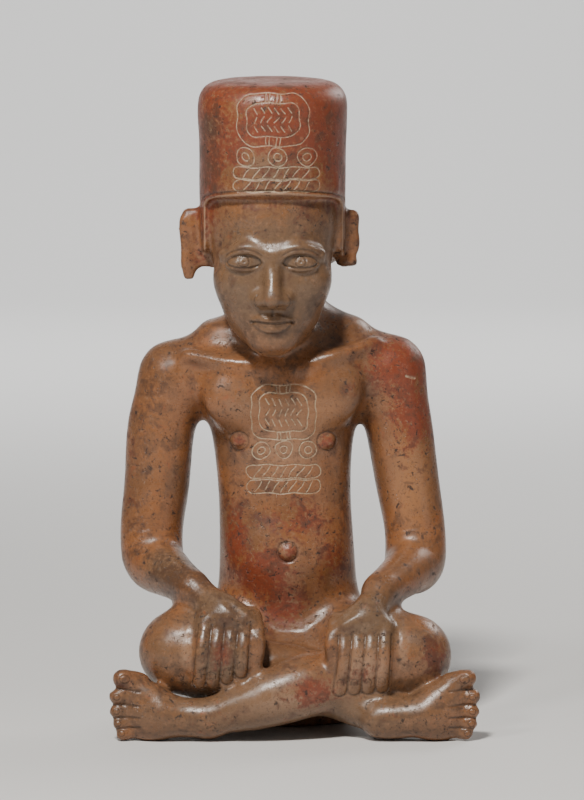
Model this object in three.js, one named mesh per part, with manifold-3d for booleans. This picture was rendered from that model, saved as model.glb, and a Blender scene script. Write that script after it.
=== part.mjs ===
// A seated, cross-legged figure in burnished earthenware, its hands on its knees and a tall cap on its head.
// Millimetres. +Z is up, the figure faces -Y, and +X is the viewer's right.
// Each part of the body is a field: a function of a point that gives its distance from that part's surface.
// The fields are blended as clay is, surfaced on a grid, and the surface is thinned where it is flat.
import * as THREE from "three";
import { mergeVertices } from "three/addons/utils/BufferGeometryUtils.js";
import Module from "manifold-3d";

// Driving dimensions
const HEIGHT = 330;
const GRID_STEP = 1.5;
const TRIANGLES = 9800;
const UNDERCUT = 3; // clay below the ground plane, which the last cut takes off
const FAR = 26; // beyond this a limb's own shape can't reach a blend
const at = (x, y, z) => new THREE.Vector3(x, y, z);

// The column of the trunk: height, half width, half depth, centre in X and in Y
const TRUNK = [
  [-20, 42, 37, 0, 8],
  [25, 42, 36, 0, 7],
  [50, 37.5, 30, 0.5, 4],
  [75, 35, 26, 0.4, 1],
  [97, 34, 25, -0.3, 0],
  [120, 33.8, 24.5, -1.2, 0],
  [145, 36, 25.5, -2, 0],
  [162, 39.5, 27, -2.5, 0],
  [182, 42, 26, -3, 1],
  [198, 36, 21, -3, 3],
];

// The head leans forward a little and stands to the viewer's left of the trunk
const head = { centre: at(-7, -17, 236), nod: 5, faceTop: 34, chin: -46, eyeLine: 1, eyeApart: 28 };
const cap = { topHalf: 38, brimHalf: 36.6, halfDepth: 37, middle: 2.5, top: 88.5, edge: 7 };
const hem = { side: 4, nape: -9 };
const window = { half: 33, corner: 5, arch: 0.0024, depth: 6 };

// A knee is a short thick bar lying left to right, and the hands are wrapped over it
const knees = {
  left: { from: at(-52.5, -48, 41.5), to: at(-33.5, -50, 41.5), radius: 21 },
  right: { from: at(42, -50, 39.5), to: at(61.5, -48, 39.5), radius: 20.5 },
};
const finger = { count: 4, radius: 3.7, proud: 1.1 };
const hands = {
  left: { knee: knees.left, side: -1, knuckles: [-40, -20.5], tips: [-43, -22.5], rise: 36, drop: -36 },
  right: { knee: knees.right, side: 1, knuckles: [48.5, 29], tips: [47, 26.5], rise: 32, drop: -46 },
};
const nipples = [{ x: -24, z: 144, wide: 4.1, proud: 2.2 }, { x: 20.2, z: 144, wide: 4.1, proud: 2.2 }];
const navel = { x: 0.6, z: 88.6, wide: 4.3, proud: 1.5 };
const toes = { big: 4.5, small: 3.3, heights: [31, 22, 14.8, 8.8, 3.6] };
const foot = { middle: 4, reach: 91.5, depth: -66 };

// Fields of single shapes

// A tapered bar with round ends.
function bar(a, b, ra, rb = ra) {
  const d = b.clone().sub(a);
  const length2 = Math.max(d.lengthSq(), 1e-9);
  return (x, y, z) => {
    const px = x - a.x;
    const py = y - a.y;
    const pz = z - a.z;
    const t = Math.min(1, Math.max(0, (px * d.x + py * d.y + pz * d.z) / length2));
    return Math.hypot(px - t * d.x, py - t * d.y, pz - t * d.z) - ra - t * (rb - ra);
  };
}

// An egg: an ellipsoid, turned by degrees about X, Y and Z.
function egg(centre, radii, turn = [0, 0, 0]) {
  const angles = turn.map(THREE.MathUtils.degToRad);
  const m = new THREE.Matrix4().makeRotationFromEuler(new THREE.Euler(...angles)).transpose().elements;
  return (x, y, z) => {
    const dx = x - centre.x;
    const dy = y - centre.y;
    const dz = z - centre.z;
    const ex = (m[0] * dx + m[4] * dy + m[8] * dz) / radii.x;
    const ey = (m[1] * dx + m[5] * dy + m[9] * dz) / radii.y;
    const ez = (m[2] * dx + m[6] * dy + m[10] * dz) / radii.z;
    const near = Math.hypot(ex, ey, ez);
    const slope = Math.hypot(ex / radii.x, ey / radii.y, ez / radii.z);
    return slope < 1e-9 ? -Math.min(radii.x, radii.y, radii.z) : (near * (near - 1)) / slope;
  };
}

// A limb: a smooth curve through points, each with its own radius.
function limb(stations, steps = 14) {
  const curve = new THREE.CatmullRomCurve3(stations.map(([p]) => p));
  const radii = new THREE.SplineCurve(stations.map(([, r], i) => new THREE.Vector2(i, r)));
  const spot = (i) => [curve.getPoint(i / steps), radii.getPoint(i / steps).y];
  const bars = [];
  for (let i = 0; i < steps; i++) {
    const [a, ra] = spot(i);
    const [b, rb] = spot(i + 1);
    bars.push(bar(a, b, ra, rb));
  }
  const box = new THREE.Box3().setFromPoints(curve.getPoints(steps));
  box.expandByScalar(Math.max(...stations.map(([, r]) => r)));
  const middle = box.getCenter(at(0, 0, 0));
  const half = box.getSize(at(0, 0, 0)).multiplyScalar(0.5);
  return (x, y, z) => {
    const bx = Math.max(0, Math.abs(x - middle.x) - half.x);
    const by = Math.max(0, Math.abs(y - middle.y) - half.y);
    const bz = Math.max(0, Math.abs(z - middle.z) - half.z);
    const away = Math.hypot(bx, by, bz);
    if (away > FAR) return away;
    let least = Infinity;
    for (const one of bars) least = Math.min(least, one(x, y, z));
    return least;
  };
}

// A standing column whose oval section changes with height.
function column(stations) {
  const heights = stations.map(([z]) => z);
  const size = stations[0].length - 1;
  const values = stations.flatMap((s) => s.slice(1));
  const spline = new THREE.CubicInterpolant(heights, values, size, new Float64Array(size));
  const [low, high] = [heights[0], heights[heights.length - 1]];
  return (x, y, z) => {
    const level = Math.min(high, Math.max(low, z));
    const [halfX, halfY, middleX, middleY] = spline.evaluate(level);
    const ex = (x - middleX) / halfX;
    const ey = (y - middleY) / halfY;
    const near = Math.hypot(ex, ey);
    const slope = Math.hypot(ex / halfX, ey / halfY);
    const side = slope < 1e-9 ? -Math.min(halfX, halfY) : (near * (near - 1)) / slope;
    return Math.max(side, z - high, low - z);
  };
}

// A box with round edges, in the frame that it is given in.
function block(centre, half, round) {
  return (x, y, z) => {
    const dx = Math.abs(x - centre.x) - half.x + round;
    const dy = Math.abs(y - centre.y) - half.y + round;
    const dz = Math.abs(z - centre.z) - half.z + round;
    const outside = Math.hypot(Math.max(dx, 0), Math.max(dy, 0), Math.max(dz, 0));
    return outside + Math.min(0, Math.max(dx, dy, dz)) - round;
  };
}

// How fields are put together

const soften = (a, b, k) => (Math.max(k - Math.abs(a - b), 0) ** 2) / (4 * k);
const blend = (k, first, ...rest) => (x, y, z) =>
  rest.reduce((sum, form) => {
    const d = form(x, y, z);
    return Math.min(sum, d) - soften(sum, d, k);
  }, first(x, y, z));
const press = (k, first, ...rest) => (x, y, z) =>
  rest.reduce((sum, form) => {
    const d = -form(x, y, z);
    return Math.max(sum, d) + soften(sum, d, k);
  }, first(x, y, z));

// A field drawn in a frame of its own, which stands at a place and nods forward by degrees.
function placed(form, centre, nod) {
  const c = Math.cos(THREE.MathUtils.degToRad(nod));
  const s = Math.sin(THREE.MathUtils.degToRad(nod));
  return (x, y, z) => {
    const dy = y - centre.y;
    const dz = z - centre.z;
    return form(x - centre.x, c * dy + s * dz, c * dz - s * dy);
  };
}

// The parts of the body

function trunk() {
  const shoulders = blend(
    8,
    bar(at(-56.5, 3, 176), at(-12, 3, 185), 15, 21),
    bar(at(52, 3, 178), at(8, 3, 186), 14.5, 21),
    bar(at(-40, 6, 188), at(-15, 5, 201), 9, 12),
    bar(at(38, 6, 191), at(11, 5, 204), 9, 12),
  );
  const chest = blend(
    8,
    column(TRUNK),
    egg(at(-23, -17, 166), at(19, 11, 17), [0, 0, 12]),
    egg(at(19, -17, 168), at(19, 11, 17), [0, 0, -12]),
    egg(at(-1, -12, 84), at(27, 16, 24)),
    egg(at(-1, 22, 172), at(38, 9, 24)),
  );
  const neck = limb([[at(-3, 7, 192), 22], [at(-5, 2, 208), 20], [at(-6, -4, 224), 21]], 5);
  const blades = [
    egg(at(-24, 20, 166), at(13, 8.5, 19), [0, 8, 0]),
    egg(at(20, 20, 166), at(13, 8.5, 19), [0, -8, 0]),
  ];
  const spine = limb([
    [at(-3, 35, 196), 5],
    [at(-2, 33, 165), 6.5],
    [at(-1, 30.5, 130), 6.5],
    [at(0, 31.5, 92), 6],
  ], 10);
  const upper = press(7, blend(8, blend(9, blend(14, chest, shoulders), neck), ...blades), spine);
  const dips = [
    egg(at(-34, -20, 197), at(15, 8, 7), [0, 15, 0]),
    egg(at(32, -20, 201), at(14, 8, 7), [0, -15, 0]),
  ];
  const hollows = press(7, upper, ...dips);
  const collarBones = [
    limb([[at(-9, -24, 181), 3], [at(-28, -23.5, 183.5), 3.2], [at(-50, -15, 187), 3.5]], 6),
    limb([[at(6, -24, 181), 3], [at(26, -22.5, 187.5), 3.2], [at(45, -10, 193), 3]], 6),
  ];
  return blend(4, hollows, ...collarBones);
}

function arms() {
  const left = [
    [at(-57.5, 3, 174), 16.8],
    [at(-63.5, 3, 150), 17.2],
    [at(-66, 2, 120), 16.6],
    [at(-68.5, -1, 98), 16],
    [at(-67.5, -6, 83), 15.4],
    [at(-60, -22, 78), 12.6],
    [at(-47, -46, 73), 9.2],
  ];
  const right = [
    [at(53, 3, 178), 16.5],
    [at(57, 3, 150), 17],
    [at(61.5, 2, 120), 16.2],
    [at(65, -1, 98), 15.4],
    [at(65, -6, 82), 15.4],
    [at(60, -22, 78), 12.4],
    [at(46, -46, 71), 9.2],
  ];
  return [limb(left, 20), limb(right, 20)];
}

function legs() {
  const bent = ({ from, to, radius }) => bar(from, to, radius);
  const thighs = [
    limb([[at(-20, 10, 28), 27], [at(-32, -18, 36), 25], [at(-42, -44, 41), 21.5]], 8),
    limb([[at(20, 10, 28), 27], [at(34, -18, 36), 25], [at(49, -44, 39), 21]], 8),
  ];
  const shins = [
    limb([
      [at(-40, -46, 34), 17],
      [at(-12, -44, 31), 16],
      [at(16, -50, 26), 15],
      [at(40, -58, 15), 11],
      [at(56, -61, 11), 9.5],
    ], 14),
    limb([
      [at(46, -46, 35), 15.5],
      [at(26, -54, 28.5), 15.5],
      [at(6, -62, 25), 15.5],
      [at(-14, -66, 19), 13.5],
      [at(-38, -67, 11.5), 9.2],
    ], 14),
  ];
  const lap = egg(at(0, -22, 26), at(34, 26, 20));
  const seat = [egg(at(-19, 25, 24), at(27, 25, 30)), egg(at(20, 25, 24), at(27, 25, 30))];
  const hips = blend(10, ...thighs, lap, blend(3, ...seat));
  return { hips, knees: [bent(knees.left), bent(knees.right)], shins };
}

// A foot lies on its outer edge, so the toes are stacked one over the other.
function footField(side) {
  const { middle, reach, depth } = foot;
  const x = (out) => middle + side * out;
  const body = blend(
    6,
    bar(at(x(42), depth, 10.5), at(x(64), depth, 12), 9.5, 10.5),
    egg(at(x(72), depth, 14), at(12.5, 8.6, 15)),
    bar(at(x(77), depth, 25), at(x(82), depth - 1, 30), 5, 4.6),
  );
  const toeFields = toes.heights.map((height, i) => {
    const share = i / (toes.heights.length - 1);
    const radius = THREE.MathUtils.lerp(toes.big, toes.small, Math.sqrt(share));
    const tip = reach - radius - 3.5 * share ** 3 - (i === 0 ? 2 : 0);
    const root = THREE.MathUtils.lerp(height, 16, 0.12);
    return bar(at(x(76), depth + 1, root), at(x(tip), depth - 2.5, height), radius);
  });
  return blend(1.2, body, ...toeFields);
}

// Where a point of a hand lies: x across the knee, and an angle round it, up from straight ahead.
function overKnee({ from, to, radius }, x, degrees, lift) {
  const middle = from.clone().lerp(to, 0.5);
  const angle = THREE.MathUtils.degToRad(degrees);
  const reach = radius + lift;
  return at(x, middle.y - reach * Math.cos(angle), middle.z + reach * Math.sin(angle));
}

function hand({ knee, side, knuckles, tips, rise, drop }) {
  const { count, radius, proud } = finger;
  const fingers = [];
  for (let i = 0; i < count; i++) {
    const share = i / (count - 1);
    const top = THREE.MathUtils.lerp(knuckles[0], knuckles[1], share);
    const end = THREE.MathUtils.lerp(tips[0], tips[1], share);
    const stations = [0, 0.33, 0.66, 1].map((t) => [
      overKnee(knee, THREE.MathUtils.lerp(top, end, t), THREE.MathUtils.lerp(rise + 12, drop, t), proud),
      THREE.MathUtils.lerp(radius, radius * 0.94, t),
    ]);
    fingers.push(limb(stations, 6));
  }
  const inner = knuckles[1] - side * 5.4;
  const thumb = limb([
    [overKnee(knee, inner + side * 1.5, 62, 2), 4.2],
    [overKnee(knee, inner - side * 1.5, 24, 0), 3.8],
    [overKnee(knee, inner + side * 0.5, -26, -1), 3.2],
  ], 6);
  const middle = (knuckles[0] + knuckles[1]) / 2;
  const wrist = at(side * 47, -46, side < 0 ? 73 : 71);
  const back = blend(
    6,
    bar(wrist, overKnee(knee, middle, 60, 3), 8.4, 7.5),
    bar(overKnee(knee, knuckles[0] - side, 50, 0), overKnee(knee, knuckles[1] + side, 50, 0), 6),
    bar(overKnee(knee, middle, 66, 3), overKnee(knee, knuckles[1], 50, 1), 7, 6),
  );
  return blend(1.2, back, ...fingers, thumb);
}

// The head, in its own frame: its centre at the origin, +Z to the crown.
// The face is a plain, calm one: hairline, brow, nose and chin a third apart, and eyes halfway down the head.
function faceField() {
  const { faceTop, chin, eyeLine, eyeApart } = head;
  const third = (faceTop - chin) / 3;
  const brow = faceTop - third;
  const noseBase = brow - third;
  const mouth = noseBase - third / 3;
  const pair = (make) => [make(-1), make(1)];
  const skull = blend(12, egg(at(0, 3, 20), at(33.5, 35.5, 44)), egg(at(0, -11, -14), at(26.5, 23.5, 32)));
  const cheeks = pair((s) => egg(at(s * 17, -20, -8), at(11, 11, 12)));
  const muzzle = egg(at(0, -21, mouth + 1), at(14, 13.5, 12));
  const flesh = blend(9, skull, ...cheeks, muzzle);
  const hollow = (s) => egg(at((s * eyeApart) / 2, -37.5, eyeLine), at(9.5, 4.6, 6));
  const sockets = press(5, flesh, ...pair(hollow));
  const brows = pair((s) => limb([
    [at(s * 4, -32.5, brow - 1), 2.6],
    [at(s * 14, -32, brow + 1.5), 2.8],
    [at(s * 24, -26, brow - 2), 2.4],
  ], 6));
  const eyes = pair((s) => egg(at((s * eyeApart) / 2, -29, eyeLine), at(8.6, 6, 5.2)));
  const nose = blend(
    3,
    limb([
      [at(0, -31.5, brow - 3), 3.4],
      [at(0, -36.5, (brow + noseBase) / 2), 3.6],
      [at(0, -40.6, noseBase + 4.2), 4.8],
    ], 5),
    ...pair((s) => egg(at(s * 5.8, -35.8, noseBase + 3), at(3.8, 5, 3.6))),
  );
  const chinBall = egg(at(0, -25.5, chin + 9.5), at(12.5, 9.5, 9.5));
  const lip = (corner, peak, middle, thick) => {
    const half = pair((s) => [at(s * peak.x, peak.y, peak.z), thick]);
    const ends = pair((s) => [at(s * corner.x, corner.y, corner.z), 1.3]);
    return limb([ends[0], half[0], [middle, thick * 0.9], half[1], ends[1]], 10);
  };
  const upperLip = lip(at(11, -30.6, mouth), at(3.6, -35.4, mouth + 2.2), at(0, -35.6, mouth + 1.6), 2.4);
  const lowerLip = lip(at(10, -30.6, mouth - 1), at(4, -34.2, mouth - 2.6), at(0, -35, mouth - 3), 2.8);
  const face = blend(5, sockets, ...brows, nose, chinBall);
  return blend(1.2, face, ...eyes, upperLip, lowerLip);
}

// A tall cap that comes down before the ears and round to the nape, with a window cut in it for the face.
function capField() {
  const { topHalf, brimHalf, halfDepth, middle, top, edge } = cap;
  const shell = column([
    [-70, brimHalf - 2.5, halfDepth - 4, 0, middle],
    [hem.nape, brimHalf - 1, halfDepth - 2, 0, middle],
    [head.faceTop, brimHalf, halfDepth, 0, middle],
    [(head.faceTop + top) / 2, brimHalf + 0.2, halfDepth, 0, middle],
    [top + 30, topHalf + 1.4, halfDepth + 0.6, 0, middle],
  ]);
  const lid = (x, y, z) => top - z;
  const { lerp, smoothstep } = THREE.MathUtils;
  const below = (x, y, z) => z - lerp(hem.side, hem.nape, smoothstep(y, -6, 30));
  const walls = press(2.2, press(2 * edge, shell, lid), below);
  const { half, corner, arch, depth } = window;
  const opening = block(at(0.5, -50 - depth, head.faceTop - 60), at(half, 50, 60), corner);
  const arched = (x, y, z) => opening(x, y, z + arch * x * x);
  return press(2, walls, arched);
}

// The ears stand out like plates. The viewer's left one has lost its lobe, and the other its outer edge.
function ears() {
  const left = block(at(-37.8, 3, 8.5), at(7.8, 3.2, 16.2), 3);
  const rim = bar(at(-44, 1.6, 19), at(-42.6, 1.4, -3), 2.6);
  const tail = block(at(-42, 3, -6), at(2.9, 3.2, 5.4), 0.8);
  const lostLobe = bar(at(-34, -10, -10), at(-34, 16, -10), 5.2);
  const right = block(at(37.5, 6, 9), at(6, 3.2, 14.5), 3);
  const lostEdge = [bar(at(47, -8, 14), at(47, 20, 14), 4.4), bar(at(46.5, -8, -1), at(46.5, 20, -1), 4.6)];
  return blend(2, press(0.6, blend(2, left, rim, tail), lostLobe), press(1, right, ...lostEdge));
}

// Where the front of a body lies, found by halving.
function frontOf(body, x, z) {
  let [outside, inside] = [-60, 0];
  while (inside - outside > 0.05) {
    const y = (outside + inside) / 2;
    if (body(x, y, z) > 0) outside = y;
    else inside = y;
  }
  return outside;
}

// Small modelling on the trunk: a low button at each nipple, and one in a shallow dish at the navel.
function detailed(body) {
  const sunk = 1.2;
  const button = ({ x, z, wide, proud }) => {
    const centre = at(x, frontOf(body, x, z) + sunk, z);
    return egg(centre, at(wide, sunk + proud, wide));
  };
  const dish = egg(at(navel.x, frontOf(body, navel.x, navel.z) - 1.4, navel.z), at(7, 3.2, 7));
  return blend(0.8, press(1.5, body, dish), ...nipples.map(button), button(navel));
}

function figureField() {
  const [leftArm, rightArm] = arms();
  const { hips, knees: bent, shins } = legs();
  const body = blend(12, blend(9, trunk(), leftArm, rightArm), hips);
  const folded = blend(6, body, ...bent);
  const crossed = blend(2.5, folded, blend(4, shins[0], footField(1)), blend(4, shins[1], footField(-1)));
  const handed = blend(1.6, crossed, hand(hands.left), hand(hands.right));
  const headField = placed(blend(1.2, blend(0.8, faceField(), capField()), ears()), head.centre, head.nod);
  const whole = blend(3, detailed(handed), headField);
  return (x, y, z) => Math.max(whole(x, y, z), -UNDERCUT - z);
}

// Surfacing: six tetrahedra in each cube of the grid, so the skin is always closed

function surface(field, box, step) {
  const size = ["x", "y", "z"].map((k) => Math.ceil((box.max[k] - box.min[k]) / step) + 1);
  const [nx, ny, nz] = size;
  const values = new Float32Array(nx * ny * nz);
  const id = (i, j, k) => (k * ny + j) * nx + i;
  const place = (n) => [
    box.min.x + (n % nx) * step,
    box.min.y + (Math.floor(n / nx) % ny) * step,
    box.min.z + Math.floor(n / nx / ny) * step,
  ];

  // A block of the grid whose centre is far from the surface keeps that one distance.
  const blockSide = 8;
  for (let k = 0; k < nz; k += blockSide)
    for (let j = 0; j < ny; j += blockSide)
      for (let i = 0; i < nx; i += blockSide) {
        const [x, y, z] = place(id(i, j, k)).map((v) => v + (blockSide / 2) * step);
        const far = field(x, y, z);
        const skip = Math.abs(far) > blockSide * step * 1.1 + 6;
        for (let c = k; c < Math.min(k + blockSide, nz); c++)
          for (let b = j; b < Math.min(j + blockSide, ny); b++)
            for (let a = i; a < Math.min(i + blockSide, nx); a++) {
              const n = id(a, b, c);
              values[n] = skip ? far : field(...place(n));
            }
      }

  const points = [];
  const faces = [];
  const made = new Map();
  const cut = (a, b) => {
    const key = a < b ? a * values.length + b : b * values.length + a;
    if (!made.has(key)) {
      const t = THREE.MathUtils.clamp(values[a] / (values[a] - values[b]), 0.04, 0.96);
      const pa = place(a);
      const pb = place(b);
      made.set(key, points.length / 3);
      points.push(...pa.map((v, axis) => v + t * (pb[axis] - v)));
    }
    return made.get(key);
  };
  const corners = [[0, 1, 3, 7], [0, 3, 2, 7], [0, 2, 6, 7], [0, 6, 4, 7], [0, 4, 5, 7], [0, 5, 1, 7]];
  const offset = [0, 1, 2, 3, 4, 5, 6, 7].map((c) => id(c & 1, (c >> 1) & 1, c >> 2));
  for (let k = 0; k < nz - 1; k++)
    for (let j = 0; j < ny - 1; j++)
      for (let i = 0; i < nx - 1; i++) {
        const n = id(i, j, k);
        const inside = offset.reduce((sum, o) => sum + (values[n + o] < 0 ? 1 : 0), 0);
        if (inside === 0 || inside === 8) continue;
        for (const tet of corners) {
          const q = tet.map((c) => n + offset[c]);
          const low = q.filter((c) => values[c] < 0);
          const high = q.filter((c) => values[c] >= 0);
          if (!low.length || !high.length) continue;
          let ring;
          if (low.length === 1) ring = high.map((h) => cut(low[0], h));
          else if (high.length === 1) ring = low.map((l) => cut(l, high[0]));
          else ring = [[0, 0], [0, 1], [1, 1], [1, 0]].map(([l, h]) => cut(low[l], high[h]));
          const corner = (v) => at(points[3 * v], points[3 * v + 1], points[3 * v + 2]);
          const outward = at(...place(high[0])).sub(at(...place(low[0])));
          const normal = corner(ring[1]).sub(corner(ring[0])).cross(corner(ring[2]).sub(corner(ring[0])));
          if (normal.dot(outward) < 0) ring.reverse();
          faces.push(ring[0], ring[1], ring[2]);
          if (ring.length === 4) faces.push(ring[0], ring[2], ring[3]);
        }
      }
  return { points: Float64Array.from(points), faces: Uint32Array.from(faces) };
}

// Easing: each point moves to the middle of its neighbours and back out, which takes off the grid's steps

function eased({ points, faces }, rounds) {
  const sum = new Float64Array(points.length);
  const met = new Uint16Array(points.length / 3);
  for (let round = 0; round < 2 * rounds; round++) {
    const share = round % 2 ? -0.52 : 0.5;
    sum.fill(0);
    met.fill(0);
    for (let e = 0; e < faces.length; e++) {
      const from = faces[e];
      const to = faces[e % 3 === 2 ? e - 2 : e + 1];
      met[from]++;
      for (let axis = 0; axis < 3; axis++) sum[3 * from + axis] += points[3 * to + axis];
    }
    for (let n = 0; n < points.length; n++) {
      const middle = sum[n] / met[Math.floor(n / 3)];
      points[n] += share * (middle - points[n]);
    }
  }
  return { points, faces };
}

// Thinning: the edge whose loss moves the surface least goes first, by summed squared distances to its planes

class Heap {
  constructor() {
    this.items = [];
  }
  push(item) {
    const list = this.items;
    let n = list.push(item) - 1;
    while (n > 0) {
      const up = (n - 1) >> 1;
      if (list[up].cost <= item.cost) break;
      list[n] = list[up];
      n = up;
    }
    list[n] = item;
  }
  pop() {
    const list = this.items;
    const first = list[0];
    const item = list.pop();
    if (list.length) {
      let n = 0;
      for (;;) {
        let next = 2 * n + 1;
        if (next >= list.length) break;
        if (next + 1 < list.length && list[next + 1].cost < list[next].cost) next++;
        if (list[next].cost >= item.cost) break;
        list[n] = list[next];
        n = next;
      }
      list[n] = item;
    }
    return first;
  }
}

function thinned({ points, faces }, wanted, worth) {
  const count = points.length / 3;
  const quadrics = new Float64Array(count * 10);
  const around = Array.from({ length: count }, () => []);
  const alive = new Uint8Array(faces.length / 3).fill(1);
  const stamp = new Uint32Array(count);
  const facing = Array.from({ length: count }, () => at(0, 0, 0));
  const corner = (v) => at(points[3 * v], points[3 * v + 1], points[3 * v + 2]);

  for (let f = 0; f < alive.length; f++) {
    const [a, b, c] = faces.subarray(3 * f, 3 * f + 3);
    const pa = corner(a);
    const normal = corner(b).sub(pa).cross(corner(c).sub(pa));
    const area = normal.length() / 2;
    for (const v of [a, b, c]) facing[v].add(normal);
    normal.normalize();
    const d = -normal.dot(pa);
    const n = [normal.x, normal.y, normal.z, d];
    const weight = area * worth(pa);
    for (const v of [a, b, c]) {
      around[v].push(f);
      let q = 10 * v;
      for (let i = 0; i < 4; i++) for (let j = i; j < 4; j++) quadrics[q++] += weight * n[i] * n[j];
    }
  }
  facing.forEach((v) => v.normalize());

  const cost = (q, x, y, z) =>
    x * (q[0] * x + 2 * (q[1] * y + q[2] * z + q[3])) + y * (q[4] * y + 2 * (q[5] * z + q[6])) +
    z * (q[7] * z + 2 * q[8]) + q[9];
  const matrix = new THREE.Matrix3();
  const flatness = 1e-4; // a little pull towards the edge's middle, for edges in a flat place
  function plan(a, b) {
    const q = new Float64Array(10);
    for (let i = 0; i < 10; i++) q[i] = quadrics[10 * a + i] + quadrics[10 * b + i];
    const middle = corner(a).add(corner(b)).multiplyScalar(0.5);
    const w = flatness * (q[0] + q[4] + q[7]) + 1e-9;
    matrix.set(q[0] + w, q[1], q[2], q[1], q[4] + w, q[5], q[2], q[5], q[7] + w);
    const spot = at(-q[3] + w * middle.x, -q[6] + w * middle.y, -q[8] + w * middle.z);
    spot.applyMatrix3(matrix.invert());
    const reach = corner(a).distanceTo(corner(b));
    if (!(spot.distanceTo(middle) < 1.5 * reach)) spot.copy(middle);
    const length = 2e-3 * reach * reach;
    const price = Math.max(0, cost(q, spot.x, spot.y, spot.z)) + length;
    return { cost: price, a, b, spot, stamp: stamp[a] + stamp[b], tries: 0 };
  }

  const heap = new Heap();
  for (let f = 0; f < alive.length; f++)
    for (let e = 0; e < 3; e++) {
      const a = faces[3 * f + e];
      const b = faces[3 * f + ((e + 1) % 3)];
      if (a < b) heap.push(plan(a, b));
    }

  const neighbours = (v) => {
    const found = new Set();
    for (const f of around[v]) for (let e = 0; e < 3; e++) found.add(faces[3 * f + e]);
    found.delete(v);
    return found;
  };
  // No face round a moved point may turn away from the way its three corners face, or become a sliver.
  const steady = (v, other, spot, turned) =>
    around[v].every((f) => {
      const tri = [faces[3 * f], faces[3 * f + 1], faces[3 * f + 2]];
      if (tri.includes(other)) return true;
      const [p, q, r] = tri.map((t) => (t === v ? spot : corner(t)));
      const wanted = at(0, 0, 0);
      for (const t of tri) wanted.add(t === v ? turned : facing[t]);
      const longest = Math.max(p.distanceToSquared(q), q.distanceToSquared(r), r.distanceToSquared(p));
      const face = q.clone().sub(p).cross(r.clone().sub(p));
      const size = face.length();
      return face.dot(wanted) > 0.5 * size * wanted.length() && size > 0.07 * longest;
    });

  let left = alive.length;
  while (left > wanted && heap.items.length) {
    const best = heap.pop();
    const { a, b, spot, stamp: then, tries } = best;
    if (!around[a] || !around[b] || stamp[a] + stamp[b] !== then) continue;
    const near = neighbours(b);
    const shared = [...neighbours(a)].filter((v) => near.has(v));
    if (!near.has(a) || shared.length !== 2) continue;
    const turned = facing[a].clone().add(facing[b]).normalize();
    if (!steady(a, b, spot, turned) || !steady(b, a, spot, turned)) {
      if (tries < 6) heap.push({ ...best, cost: 3 * best.cost, tries: tries + 1 });
      continue;
    }
    facing[a] = turned;
    for (const f of around[b]) {
      const tri = faces.subarray(3 * f, 3 * f + 3);
      if (tri.includes(a)) {
        alive[f] = 0;
        left--;
        for (const v of tri) if (v !== b) around[v] = around[v].filter((g) => g !== f);
      } else {
        tri[tri.indexOf(b)] = a;
        around[a].push(f);
      }
    }
    around[b] = null;
    points.set([spot.x, spot.y, spot.z], 3 * a);
    for (let i = 0; i < 10; i++) quadrics[10 * a + i] += quadrics[10 * b + i];
    stamp[a]++;
    stamp[a] += stamp[b];
    const ring = neighbours(a);
    for (const v of ring) heap.push(plan(a, v));
  }

  const kept = [];
  alive.forEach((on, f) => on && kept.push(...faces.subarray(3 * f, 3 * f + 3)));
  const g = new THREE.BufferGeometry();
  g.setAttribute("position", new THREE.BufferAttribute(Float32Array.from(points), 3));
  g.setIndex(kept);
  return g.toNonIndexed();
}

// Solids, for the flat cut under the figure

const wasm = await Module();
wasm.setup();

function solid(geometry) {
  const bare = new THREE.BufferGeometry().setAttribute("position", geometry.getAttribute("position"));
  if (geometry.index) bare.setIndex(geometry.index);
  const merged = mergeVertices(bare, 1e-4);
  return new wasm.Manifold(new wasm.Mesh({
    numProp: 3,
    vertProperties: merged.attributes.position.array,
    triVerts: new Uint32Array(merged.index.array),
  }));
}

function geometryOf(shape) {
  const { vertProperties, triVerts } = shape.getMesh();
  const g = new THREE.BufferGeometry();
  g.setAttribute("position", new THREE.BufferAttribute(vertProperties, 3));
  g.setIndex(new THREE.BufferAttribute(triVerts, 1));
  return g;
}

const room = new THREE.Box3(at(-96, -94, -2 * UNDERCUT), at(102, 60, HEIGHT + 6));
// How much a place is worth when the surface is thinned: the face, hands, feet and chest more than the rest.
function worth({ x, y, z }) {
  if (y > -19) return 1;
  if (z > 186) return z < head.centre.z + head.faceTop + 14 ? 5 : 1.5;
  if (z < 82) return 2;
  return Math.abs(x) < 32 ? 3 : 1;
}

const skin = thinned(eased(surface(figureField(), room, GRID_STEP), 3), TRIANGLES, worth);
const ground = new THREE.BoxGeometry(400, 400, 100).translate(0, 0, -50);
const standing = geometryOf(solid(skin).subtract(solid(ground)));

// The origin is under the figure's middle, on the surface that it sits on, and the whole gets its height.
standing.computeBoundingBox();
const middle = standing.boundingBox.getCenter(at(0, 0, 0));
const { min, max } = standing.boundingBox;
standing.translate(-middle.x, -middle.y, -min.z);
const toSize = HEIGHT / (max.z - min.z);
standing.scale(toSize, toSize, toSize);

const earthenware = new THREE.MeshStandardMaterial({ color: 0x9a6a48, roughness: 0.38, metalness: 0 });
const figure = new THREE.Mesh(standing, earthenware);
figure.name = "seated_figure";

const model = new THREE.Group();
model.add(figure);
export default model;
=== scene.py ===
# A seated earthenware figure: one fired piece, burnished, with a red slip worn thin.
import math
import bmesh
import bpy
import numpy as np
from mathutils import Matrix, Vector, kdtree
from mathutils.bvhtree import BVHTree


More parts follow.
